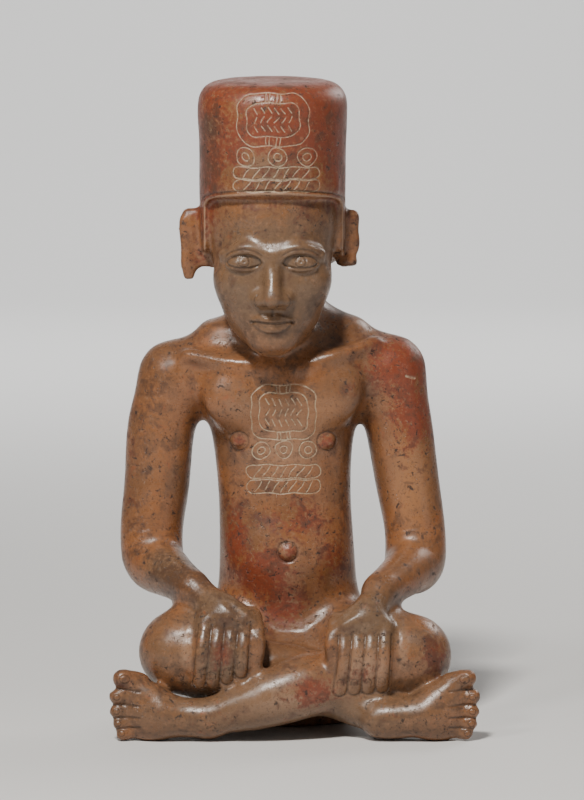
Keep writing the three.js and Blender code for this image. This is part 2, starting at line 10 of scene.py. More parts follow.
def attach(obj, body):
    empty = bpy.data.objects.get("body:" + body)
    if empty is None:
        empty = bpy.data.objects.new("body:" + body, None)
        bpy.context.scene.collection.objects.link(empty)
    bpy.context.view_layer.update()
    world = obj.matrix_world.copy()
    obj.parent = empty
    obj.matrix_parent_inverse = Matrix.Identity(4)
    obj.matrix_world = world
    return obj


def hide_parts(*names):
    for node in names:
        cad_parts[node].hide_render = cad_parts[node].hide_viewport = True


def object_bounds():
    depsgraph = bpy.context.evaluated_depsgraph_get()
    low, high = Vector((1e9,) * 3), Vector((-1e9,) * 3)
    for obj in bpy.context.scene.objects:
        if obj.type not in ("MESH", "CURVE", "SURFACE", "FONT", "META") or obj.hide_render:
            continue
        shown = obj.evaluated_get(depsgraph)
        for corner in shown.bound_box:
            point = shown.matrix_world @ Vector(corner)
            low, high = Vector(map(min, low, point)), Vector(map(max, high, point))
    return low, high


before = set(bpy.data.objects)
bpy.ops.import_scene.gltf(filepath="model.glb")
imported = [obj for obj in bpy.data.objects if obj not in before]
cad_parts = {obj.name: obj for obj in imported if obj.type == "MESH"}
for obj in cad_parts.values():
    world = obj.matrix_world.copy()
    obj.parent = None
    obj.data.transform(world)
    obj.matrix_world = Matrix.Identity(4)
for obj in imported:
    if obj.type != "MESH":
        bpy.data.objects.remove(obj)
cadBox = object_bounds()
mm = 0.001
print("frame loaded")


# Camera and studio

studio = {
    "target": (-0.0013, 0.0, 0.1658), "elevation": 5.0, "distance": 2.0,
    "lens": 177.0, "sensor": 36.0, "clip": (0.05, 50.0),
    "floorSize": 8.0, "floorColor": (0.7, 0.695, 0.685, 1.0), "floorRoughness": 0.85,
    "sweepStart": 3.4, "sweepRadius": 1.8, "sweepSegments": 24, "wallHeight": 5.0,
    "world": 0.1, "worldColor": (1.0, 0.98, 0.96, 1.0),
}
# Each light's place, the spot it points at, its size in metres, its watts and its colour
lights = {
    "key": ((-0.3, -1.0, 1.45), (0, 0, 0.18), 0.2, 33.0, (1.0, 0.965, 0.91)),
    "gleam": ((-0.85, -1.0, 1.05), (0, 0, 0.2), 0.25, 5.5, (1.0, 0.98, 0.95)),
    "fill": ((1.3, -1.2, 0.5), (0, 0, 0.15), 0.9, 1.8, (1.0, 1.0, 1.0)),
    "edge": ((0.75, 0.75, 0.8), (0, 0, 0.2), 0.5, 5.0, (1.0, 0.97, 0.94)),
    "sweepLight": ((0, 2.0, 2.6), (0, 4.6, 0.7), 2.0, 150.0, (1.0, 1.0, 1.0)),
}


def aimed(thing, place, target):
    thing.location = place
    thing.rotation_euler = (Vector(target) - Vector(place)).to_track_quat("-Z", "Y").to_euler()
    bpy.context.scene.collection.objects.link(thing)
    return thing


def makeCamera():
    lens = bpy.data.cameras.new("camera")
    lens.sensor_width = studio["sensor"]
    lens.lens = studio["lens"]
    lens.clip_start, lens.clip_end = studio["clip"]
    tilt = math.radians(studio["elevation"])
    back = Vector((0.0, -math.cos(tilt), math.sin(tilt))) * studio["distance"]
    camera = bpy.data.objects.new("camera", lens)
    bpy.context.scene.camera = aimed(camera, Vector(studio["target"]) + back, studio["target"])


def makeLights():
    for name, (place, target, size, watts, color) in lights.items():
        lamp = bpy.data.lights.new(name, "AREA")
        lamp.size = size
        lamp.energy = watts
        lamp.color = color
        aimed(bpy.data.objects.new(name, lamp), place, target)
    world = bpy.data.worlds.new("studioWorld")
    world.use_nodes = True
    glow = world.node_tree.nodes["Background"]
    glow.inputs["Color"].default_value = studio["worldColor"]
    glow.inputs["Strength"].default_value = studio["world"]
    bpy.context.scene.world = world


def makeFloor():  # a pale floor that sweeps up into a wall behind
    bm = bmesh.new()
    bmesh.ops.create_grid(bm, x_segments=1, y_segments=1, size=studio["floorSize"])
    for v in bm.verts:
        v.co.y = min(v.co.y, studio["sweepStart"] + studio["sweepRadius"])
    far = max(bm.edges, key=lambda e: (e.verts[0].co + e.verts[1].co).y)
    wall = bmesh.ops.extrude_edge_only(bm, edges=[far])["geom"]
    wallTop = [g for g in wall if isinstance(g, bmesh.types.BMVert)]
    bmesh.ops.translate(bm, vec=(0, 0, studio["wallHeight"]), verts=wallTop)
    bmesh.ops.bevel(
        bm, geom=[far], offset=studio["sweepRadius"], offset_type="OFFSET", affect="EDGES",
        segments=studio["sweepSegments"], profile=0.5, material=-1)
    bmesh.ops.recalc_face_normals(bm, faces=bm.faces)
    mesh = bpy.data.meshes.new("floor")
    bm.to_mesh(mesh)
    bm.free()
    for polygon in mesh.polygons:
        polygon.use_smooth = True
    floor = bpy.data.objects.new("floor", mesh)
    bpy.context.scene.collection.objects.link(floor)
    paint = bpy.data.materials.new("floorPaint")
    paint.use_nodes = True
    shader = paint.node_tree.nodes["Principled BSDF"]
    shader.inputs["Base Color"].default_value = studio["floorColor"]
    shader.inputs["Roughness"].default_value = studio["floorRoughness"]
    mesh.materials.append(paint)


makeCamera()
makeLights()
makeFloor()
print("studio ready")


# The clay body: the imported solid's own form, rounded off its facets

bodySettings = {
    "merge": 0.001 * mm, "cuts": 2, "roundness": 0.9, "foldAngle": 0.95, "longest": 30 * mm,
    "voxel": 1.15 * mm, "easing": 0.5, "rounds": 4, "broadRounds": 36, "legShare": 0.5,
    "triangles": 100000, "fineShare": 0.3,
}
# Areas with a soft edge: their two limits and the width over which they fade, in mm
areas = {
    "frontDepth": (-200, -40, 10), "faceDepth": (-200, -14, 8), "faceHeight": (186, 280, 8),
    "fingerWidth": (20, 54, 8), "fingerHeight": (29, 66, 5),
    "toeWidth": (78, 200, 6), "toeHeight": (-9, 48, 8),
    "hemHeight": (222, 284, 8), "legHeight": (-9, 80, 10),
    "button": (-1, 9, 5), "buttonDepth": (-200, 0, 4),
}
# Places on the trunk, arms and shoulder in mm, across and up
trunk = {
    "nipples": [(-28.2, 145.4), (16.4, 145.4)], "nippleRing": 4.9,
    "navel": (-3.5, 89.6), "navelRing": 5.2,
    "groin": [(-34.0, 70.0), (-20.0, 57.0), (-9.0, 49.5), (4.0, 49.0), (14.0, 55.0), (29.0, 64.5)],
    "chip": [(56.8, 177.9), (61.2, 176.5)],
    "elbows": [
        [(-83.0, 99.0), (-74.0, 100.5), (-62.0, 98.5)],
        [(52.0, 99.5), (64.0, 101.0), (74.0, 99.0)],
    ],
}


def applied(thing, kind, **values):
    modifier = thing.modifiers.new(kind.lower(), kind)
    for key, value in values.items():
        setattr(modifier, key, value)
    graph = bpy.context.evaluated_depsgraph_get()
    mesh = bpy.data.meshes.new_from_object(thing.evaluated_get(graph))
    thing.modifiers.clear()
    thing.data = mesh


def within(values, low, high, blur):  # 1 between the limits, easing to 0 beyond them
    rise = np.clip((values - low) / blur + 0.5, 0, 1)
    fall = np.clip((high - values) / blur + 0.5, 0, 1)
    return rise * fall


# Fine areas keep their triangles; broad ones are eased further, which would blur small forms
def markAreas(thing):
    x, y, z = (np.array([v.co[:] for v in thing.data.vertices]) / mm).T
    front = within(y, *areas["frontDepth"])
    faceFront = within(y, *areas["faceDepth"]) * within(z, *areas["faceHeight"])
    fingers = within(abs(x), *areas["fingerWidth"]) * within(z, *areas["fingerHeight"])
    toes = within(abs(x), *areas["toeWidth"]) * within(z, *areas["toeHeight"])
    fine = np.maximum(faceFront, front * np.maximum(fingers, toes))
    legs = bodySettings["legShare"] * front * within(z, *areas["legHeight"])
    small = np.maximum(within(z, *areas["hemHeight"]), legs)
    for spot in trunk["nipples"] + [trunk["navel"]]:
        away = np.hypot(x - spot[0], z - spot[1])
        small = np.maximum(small, within(away, *areas["button"]) * within(y, *areas["buttonDepth"]))
    for name, weights in (("fine", fine), ("broad", 1 - np.maximum(fine, small))):
        group = thing.vertex_groups.new(name=name)
        for i, weight in enumerate(np.round(weights, 2)):
            if weight > 0:
                group.add([i], weight, "REPLACE")


def roundedBody():
    bm = bmesh.new()
    bm.from_mesh(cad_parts["seated_figure"].data)
    bmesh.ops.remove_doubles(bm, verts=bm.verts, dist=bodySettings["merge"])
    folded = {v for e in bm.edges if e.calc_face_angle(0.0) > bodySettings["foldAngle"] for v in e.verts}
    rounded = [
        e for e in bm.edges if e.calc_length() < bodySettings["longest"]
        and max(v.co.z for v in e.verts) > 0 and not folded.intersection(e.verts)]
    bmesh.ops.subdivide_edges(
        bm, edges=rounded, cuts=bodySettings["cuts"], smooth=bodySettings["roundness"], use_grid_fill=True)
    for v in bm.verts:
        v.co.z = max(v.co.z, 0.0)
    mesh = bpy.data.meshes.new("figureSkin")
    bm.to_mesh(mesh)
    bm.free()
    thing = bpy.data.objects.new("seatedFigure", mesh)
    bpy.context.scene.collection.objects.link(thing)
    easing = bodySettings["easing"]
    applied(thing, "REMESH", mode="VOXEL", voxel_size=bodySettings["voxel"])
    applied(thing, "SMOOTH", factor=easing, iterations=bodySettings["rounds"])
    markAreas(thing)
    applied(thing, "SMOOTH", factor=easing, iterations=bodySettings["broadRounds"], vertex_group="broad")
    applied(
        thing, "DECIMATE", ratio=bodySettings["triangles"] / (2 * len(thing.data.polygons)),
        vertex_group="fine", invert_vertex_group=True, vertex_group_factor=bodySettings["fineShare"])
    return thing


figure = roundedBody()
print("body rounded", len(figure.data.polygons), "faces")


# Lines are drawn as seen from the front, in mm across and up, and carved along the skin

carvingSettings = {
    "castFrom": -300 * mm, "step": 0.3, "wander": (0.62, 0.3, 0.47, 1.7),
    "finest": 0.5, "reach": 1.15, "lead": 0.4, "rounds": 6, "sliver": 0.04 * mm, "markGain": 2.2,
}
# What each stroke leaves: its kind, half width in mm and depth in mm, where a negative depth stands proud
strokes = {
    "scored": ("scored", 0.46, 0.36), "chip": ("scored", 0.9, 0.5),
    "lidEdge": ("crease", 0.75, 0.5), "lidCrease": ("crease", 0.8, 0.26),
    "upperRoll": ("lid", 1.3, -0.55), "lowerRoll": ("lid", 1.2, -0.4),
    "iris": ("iris", 0.62, 0.3), "pupil": ("iris", 1.0, 0.4),
    "noseWing": ("crease", 0.95, 0.7), "nostril": ("crease", 1.3, 0.9),
    "lipGroove": ("crease", 1.3, 0.35),
    "mouth": ("crease", 0.95, 0.85), "mouthCorner": ("crease", 1.5, 0.6),
    "lipEdge": ("lid", 0.8, -0.25), "underLip": ("crease", 1.2, 0.3),
    "fingerGap": ("crease", 0.9, 0.5), "fingertip": ("crease", 0.9, 0.45),
    "fingernail": ("nail", 0.45, 0.2),
    "cuff": ("fold", 1.6, -0.3), "toeGap": ("crease", 0.9, 0.6), "toenail": ("nail", 0.5, 0.32),
    "rimRoll": ("rim", 1.0, -0.3), "rimGroove": ("crease", 0.85, 0.55),
    "nippleRing": ("crease", 0.75, 0.42), "navelRing": ("crease", 0.9, 0.6),
    "groin": ("fold", 3.2, 0.6), "elbow": ("fold", 1.5, 0.35),
}


class Carving:
    def __init__(self, mesh):
        self.bm = bmesh.new()
        self.bm.from_mesh(mesh)
        bmesh.ops.triangulate(self.bm, faces=self.bm.faces)
        self.skin = BVHTree.FromBMesh(self.bm)
        self.lines = {}

    def onSkin(self, x, z):
        start = Vector((x * mm, carvingSettings["castFrom"], z * mm))
        return self.skin.ray_cast(start, Vector((0, 1, 0)))[0]

    def draw(self, path, stroke, sway=0.0):  # sway is how far a hand wanders off the line, in mm
        spots = self.lines.setdefault(strokes[stroke], [])
        upX, acrossX, acrossZ, shift = carvingSettings["wander"]
        for (ax, az), (bx, bz) in zip(path, path[1:]):
            count = max(1, round(math.hypot(bx - ax, bz - az) / carvingSettings["step"]))
            for i in range(count + 1):
                x, z = ax + (bx - ax) * i / count, az + (bz - az) * i / count
                aside = sway * math.sin(upX * z + acrossX * x)
                spot = self.onSkin(x + aside, z + sway * math.sin(acrossZ * x + shift))
                if spot:
                    spots.append(spot)

    def nearest(self, style):
        tree = kdtree.KDTree(len(self.lines[style]))
        for i, spot in enumerate(self.lines[style]):
            tree.insert(spot, i)
        tree.balance()
        return tree

    def closeTo(self, style, points, reach):  # which points may lie within reach of a style's lines
        spots = np.array([spot[:] for spot in self.lines[style]])
        return ((points > spots.min(0) - reach) & (points < spots.max(0) + reach)).all(1)

    def triangulate(self):
        bmesh.ops.triangulate(self.bm, faces=[f for f in self.bm.faces if len(f.verts) > 3])

    def longEdges(self, trees):  # edges near a line that are too long to take its shape
        self.bm.verts.index_update()
        self.bm.edges.ensure_lookup_table()
        points = np.array([v.co[:] for v in self.bm.verts])
        ends = np.array([(e.verts[0].index, e.verts[1].index) for e in self.bm.edges])
        middles = (points[ends[:, 0]] + points[ends[:, 1]]) / 2
        lengths = np.linalg.norm(points[ends[:, 0]] - points[ends[:, 1]], axis=1)
        near = set()
        for style, tree in trees.items():
            longest = max(style[1], carvingSettings["finest"]) * mm
            reach = style[1] * mm * carvingSettings["reach"]
            wanted = self.closeTo(style, middles, reach + lengths[:, None]) & (lengths > longest)
            near.update(
                i for i in np.flatnonzero(wanted)
                if tree.find(middles[i])[2] < reach + lengths[i] * carvingSettings["lead"])
        return [self.bm.edges[i] for i in sorted(near)]

    def refine(self):
        trees = {style: self.nearest(style) for style in self.lines}
        for _ in range(carvingSettings["rounds"]):
            edges = self.longEdges(trees)
            if not edges:
                break
            bmesh.ops.subdivide_edges(self.bm, edges=edges, cuts=1)
            self.triangulate()
        bmesh.ops.dissolve_degenerate(self.bm, dist=carvingSettings["sliver"], edges=self.bm.edges)
        self.triangulate()

    def carve(self):  # moves the skin along its normals, and gives each kind's mark at every point
        self.bm.normal_update()
        verts = list(self.bm.verts)
        points = np.array([v.co[:] for v in verts])
        marks = {}
        moves = np.zeros(len(verts))
        for style in self.lines:
            kind, half, depth = style
            tree = self.nearest(style)
            mark = marks.setdefault(kind, np.zeros(len(verts), dtype=np.float32))
            reach = half * mm
            for i in np.flatnonzero(self.closeTo(style, points, reach)):
                away = tree.find(points[i])[2] / reach
                if away < 1.0:
                    moves[i] -= depth * mm * (1.0 - away * away) ** 2
                    mark[i] = max(mark[i], min(1.0, carvingSettings["markGain"] * (1.0 - away)))
        normals = [v.normal.copy() for v in verts]
        for i in np.flatnonzero(moves):
            verts[i].co += normals[i] * moves[i]
        return marks


def arc(centre, radius, start, end, step=0.5, tall=None):
    tall = radius if tall is None else tall
    count = max(3, math.ceil(abs(math.radians(end - start)) * max(radius, tall) / step))
    turns = [math.radians(start + (end - start) * i / count) for i in range(count + 1)]
    return [(centre[0] + radius * math.cos(t), centre[1] + tall * math.sin(t)) for t in turns]


def ring(centre, radius, tall=None):
    return arc(centre, radius, 0, 360, tall=tall)


def dash(centre, half):
    return [(centre[0] - half, centre[1]), (centre[0] + half, centre[1])]


def roundedBox(centre, width, height, corner):
    path = []
    for quarter, (sx, sz) in enumerate([(1, 1), (-1, 1), (-1, -1), (1, -1)]):
        middle = (centre[0] + sx * (width / 2 - corner), centre[1] + sz * (height / 2 - corner))
        path += arc(middle, corner, 90 * quarter, 90 * quarter + 90)
    return path + path[:1]


# Scored panels on the cap and chest: a double frame, a row of rings and two long bars

capPanel = {
    "frame": (-10.7, 308.6), "width": 35.6, "height": 26.0, "corner": 8.5, "inset": 4.6,
    "rings": [(-24.4, 290.2), (-8.6, 290.4), (6.2, 290.4)], "ringRadius": 4.6,
    "bars": [(-9.2, 282.2), (-8.8, 275.8)], "barWidth": 43.0, "barHeight": 5.8,
}
chestPanel = {
    "frame": (-5.6, 160.6), "width": 32.6, "height": 27.6, "corner": 7.5, "inset": 4.0,
    "rings": [(-17.0, 141.0), (-5.4, 141.8), (6.6, 141.6)], "ringRadius": 4.4,
    "bars": [(-5.6, 130.3), (-5.4, 122.6)], "barWidth": 37.6, "barHeight": 6.8,
}
# What both panels share: lengths in mm, and shares of the frame, ring or bar they lie in
panelLines = {
    "sway": 0.32, "innerCorner": 0.6, "ties": (-3.4, -1.7, 1.7, 3.4), "tieGap": 0.3,
    "rows": 3, "each": 6, "rowsWide": 0.78, "rowsHigh": 0.8, "strokeLean": 0.9, "strokeHigh": 0.1,
    "innerRing": 0.42, "barEnd": 0.1,
    "barStrokes": 3, "barSpacing": 0.115, "barStroke": 0.36, "barLean": 0.7,
}


def strokeRows(centre, width, height):  # short slanting strokes, leaning to and fro row by row
    paths = []
    rows, each, high = panelLines["rows"], panelLines["each"], height * panelLines["strokeHigh"]
    for row in range(rows):
        z = centre[1] + height * (0.5 - (row + 0.5) / rows)
        lean = panelLines["strokeLean"] if row % 2 else -panelLines["strokeLean"]
        for i in range(each):
            x = centre[0] + width * ((i + 0.5) / each - 0.5)
            paths.append([(x - lean, z - high), (x + lean, z + high)])
    return paths


def barLines(centre, width, height):
    paths = [roundedBox(centre, width, height, height / 2 - panelLines["barEnd"])]
    half = height * panelLines["barStroke"]
    lean = half * panelLines["barLean"]
    for i in range(-panelLines["barStrokes"], panelLines["barStrokes"] + 1):
        x = centre[0] + i * width * panelLines["barSpacing"]
        paths.append([(x - lean, centre[1] - half), (x + lean, centre[1] + half)])
    return paths


def scorePanel(carving, panel):
    (cx, cz), inset, gap = panel["frame"], panel["inset"], panelLines["tieGap"]
    innerWidth, innerHeight = panel["width"] - 2 * inset, panel["height"] - 2 * inset
    paths = [
        roundedBox((cx, cz), panel["width"], panel["height"], panel["corner"]),
        roundedBox(
            (cx, cz), innerWidth, innerHeight, panel["corner"] - inset * panelLines["innerCorner"]),
    ]
    for end in (-1, 1):  # ties between the two frames, above and below
        edge = cz + end * panel["height"] / 2
        for side in panelLines["ties"]:
            paths.append([(cx + side, edge - end * gap), (cx + side, edge - end * (inset - gap))])
    paths += strokeRows(
        (cx, cz), innerWidth * panelLines["rowsWide"], innerHeight * panelLines["rowsHigh"])
    for centre in panel["rings"]:
        for radius in (panel["ringRadius"], panel["ringRadius"] * panelLines["innerRing"]):
            paths.append(ring(centre, radius))
    for centre in panel["bars"]:
        paths += barLines(centre, panel["barWidth"], panel["barHeight"])
    for path in paths:
        carving.draw(path, "scored", sway=panelLines["sway"])


# The face, drawn on plain proportions about its own middle line, in mm

face = {
    "middle": -11.1,
    "eyeOut": 14.15, "eyeHeight": 237.4, "eyeHalf": 8.4, "upperLid": 3.7, "lowerLid": 2.6,
    "irisRise": 0.6, "irisRadius": 2.7, "pupilHalf": 0.1,
    "noseBase": 216.2,
    "wingOut": 6.4, "wingRise": 2.2, "wingWide": 2.9, "wingTall": 3.6, "wingTurn": 70,
    "nostrilOut": 3.4, "nostrilDrop": 0.4, "nostrilHalf": 0.8,
    "mouthHeight": 207.2, "mouthHalf": 10.6, "mouthSag": 0.5, "mouthLift": 0.3,
    "cornerRise": 0.2, "cornerHalf": 0.4,
    "bowRise": 3.9, "bowFall": 2.9, "bowDip": 3.5, "dipHalf": 0.2,
    "underDrop": 5.3, "underRise": 3.8, "underHalf": 0.86,
    "grooveTop": 2.2, "grooveFoot": 4.2,
}
# Along the lids: the stroke, how far outside the eye, its ends in degrees, the lid it follows and its rise
lidLines = [
    ("lidEdge", 0.0, 180, 0, "upperLid", 0.0),
    ("lidEdge", 0.0, 180, 360, "lowerLid", 0.0),
    ("upperRoll", 1.3, 168, 12, "upperLid", 1.5),
    ("lowerRoll", 0.9, 195, 345, "lowerLid", 1.3),
    ("lidCrease", 2.0, 146, 34, "upperLid", 3.2),
]


def drawEye(carving, side):
    eye = (face["middle"] + side * face["eyeOut"], face["eyeHeight"])
    for stroke, out, start, end, lid, rise in lidLines:
        tall = face[lid] + rise
        carving.draw(arc(eye, face["eyeHalf"] + out, start, end, tall=tall), stroke)
    iris = (eye[0], eye[1] + face["irisRise"])
    carving.draw(ring(iris, face["irisRadius"]), "iris")
    carving.draw(dash(iris, face["pupilHalf"]), "pupil")


def drawNostril(carving, side):
    wing = (face["middle"] + side * face["wingOut"], face["noseBase"] + face["wingRise"])
    start, turn = (180 if side < 0 else 0), side * face["wingTurn"]
    curl = arc(wing, face["wingWide"], start + turn, start - turn, tall=face["wingTall"])
    carving.draw(curl, "noseWing")
    nostril = (face["middle"] + side * face["nostrilOut"], face["noseBase"] - face["nostrilDrop"])
    carving.draw(dash(nostril, face["nostrilHalf"]), "nostril")


def drawMouth(carving):
    middle, half, height = face["middle"], face["mouthHalf"], face["mouthHeight"]

    def curve(width, shape, first=-10):  # a line across the mouth, whose height follows shape
        return [(middle + width * t, height + shape(t)) for t in [i / 10 for i in range(first, 11)]]

    def parting(t):
        return face["mouthLift"] * (1 - t * t) - face["mouthSag"] * math.cos(math.pi * t)

    def bow(t):
        dip = face["bowDip"] * max(0, face["dipHalf"] - t)
        return face["bowRise"] - face["bowFall"] * t ** 2.2 - dip

    def underLip(t):
        return face["underRise"] * abs(t) ** 2.4 - face["underDrop"]

    carving.draw(curve(half, parting), "mouth")
    for side in (-1, 1):
        corner = (middle + side * half, height + face["cornerRise"])
        carving.draw(dash(corner, face["cornerHalf"]), "mouthCorner")
        carving.draw(curve(side * half, bow, first=0), "lipEdge")
    carving.draw(curve(half * face["underHalf"], underLip), "underLip")
    top, bottom = face["noseBase"] - face["grooveTop"], height + face["grooveFoot"]
    carving.draw([(middle, top), (middle, bottom)], "lipGroove")


def drawFace(carving):
    for side in (-1, 1):
        drawEye(carving, side)
        drawNostril(carving, side)
    drawMouth(carving)


# Hands and feet: the gaps between fingers and toes, and their nails

# In mm: across at the tops and ends of the outer and inner finger, and how high each finger ends
hands = [
    {
        "tops": (-44.6, -24.8), "ends": (-47.6, -26.8), "topZ": 58.5, "tips": (26.4, 26.2, 28.4, 31.8),
        "cuff": [(-52.4, 62.0), (-53.8, 52.0), (-54.0, 42.0), (-52.6, 34.0)],
    },
    {
        "tops": (45.0, 25.3), "ends": (43.5, 22.8), "topZ": 53.5, "tips": (23.8, 23.2, 22.8, 22.6),
        "cuff": [(53.0, 59.0), (54.0, 50.0), (53.6, 40.0), (51.4, 31.0)],
    },
]
finger = {"half": 3.2, "round": 2.4, "nailRise": 6.6, "nailHalf": 1.7, "nailTall": 2.2}
# In mm, from the top toe down: each toe's height, how far across it reaches and its nail's size
foot = {
    "heights": (31.3, 22.2, 15.0, 8.9, 3.9), "tips": (86.6, 90.6, 90.8, 90.2, 88.4),
    "nails": (2.2, 1.5, 1.5, 1.5, 1.5), "nailIn": 2.2, "nailRise": 0.2, "nailWide": 1.15,
    "back": 77.0, "past": 1.0, "fanHeight": 16, "fan": 0.12,
}


def between(pair, share):
    return pair[0] + (pair[1] - pair[0]) * share


def drawHand(carving, hand):
    tips = hand["tips"]
    for gap in range(5):  # the two outer ones are the sides of the hand
        share = (gap - 0.5) / 3
        beside = (tips[max(gap - 1, 0)] + tips[min(gap, 3)]) / 2
        low = (between(hand["ends"], share), beside + finger["round"])
        carving.draw([(between(hand["tops"], share), hand["topZ"]), low], "fingerGap")
    for i, tip in enumerate(tips):
        x = between(hand["ends"], i / 3)
        end = arc((x, tip + finger["round"]), finger["half"], 180, 360, tall=finger["round"])
        nail = arc((x, tip + finger["nailRise"]), finger["nailHalf"], -30, 210, tall=finger["nailTall"])
        carving.draw(end, "fingertip")
        carving.draw(nail, "fingernail")
    carving.draw(hand["cuff"], "cuff")


def drawFoot(carving, side):
    heights, tips = foot["heights"], foot["tips"]
    for i in range(4):
        z = (heights[i] + heights[i + 1]) / 2
        root = (side * foot["back"], z + (foot["fanHeight"] - z) * foot["fan"])
        carving.draw([root, (side * (tips[i + 1] + foot["past"]), z)], "toeGap")
    for height, tip, size in zip(heights, tips, foot["nails"]):
        nail = (side * (tip - foot["nailIn"]), height + foot["nailRise"])
        carving.draw(ring(nail, size * foot["nailWide"], tall=size), "toenail")


# Small rings and folds on the trunk, and the turned edge of the cap

rim = {
    "middle": -10.6, "half": 33.6, "height": 270.8, "fall": 2.7, "corner": 4.6, "side": 240.0,
    "roll": 1.1, "groove": 2.7,
}


def rimPath(out):  # round the cap's window, from its foot on one side to its foot on the other
    middle, corner = rim["middle"], rim["corner"]
    half, top = rim["half"] + out, rim["height"] + out
    shoulder = top - rim["fall"] - corner
    left = arc((middle - half + corner, shoulder), corner, 180, 100)
    arch = [(middle + half * t / 10, top - rim["fall"] * (t / 10) ** 2) for t in range(-8, 9)]
    right = arc((middle + half - corner, shoulder), corner, 80, 0)
    return [(middle - half, rim["side"])] + left + arch + right + [(middle + half, rim["side"])]


def drawRim(carving):
    carving.draw(rimPath(rim["roll"]), "rimRoll")
    carving.draw(rimPath(rim["groove"]), "rimGroove")


def drawTrunk(carving):
    for nipple in trunk["nipples"]:
        carving.draw(ring(nipple, trunk["nippleRing"]), "nippleRing")
    carving.draw(ring(trunk["navel"], trunk["navelRing"]), "navelRing")
    carving.draw(trunk["groin"], "groin")
    carving.draw(trunk["chip"], "chip")
    for fold in trunk["elbows"]:
        carving.draw(fold, "elbow")


carving = Carving(figure.data)
scorePanel(carving, capPanel)
scorePanel(carving, chestPanel)
drawFace(carving)
for hand in hands:
    drawHand(carving, hand)
for side in (-1, 1):
    drawFoot(carving, side)
drawTrunk(carving)
drawRim(carving)
print("lines drawn")
carving.refine()
print("skin refined", len(carving.bm.faces), "triangles")
marks = carving.carve()
print("lines carved")
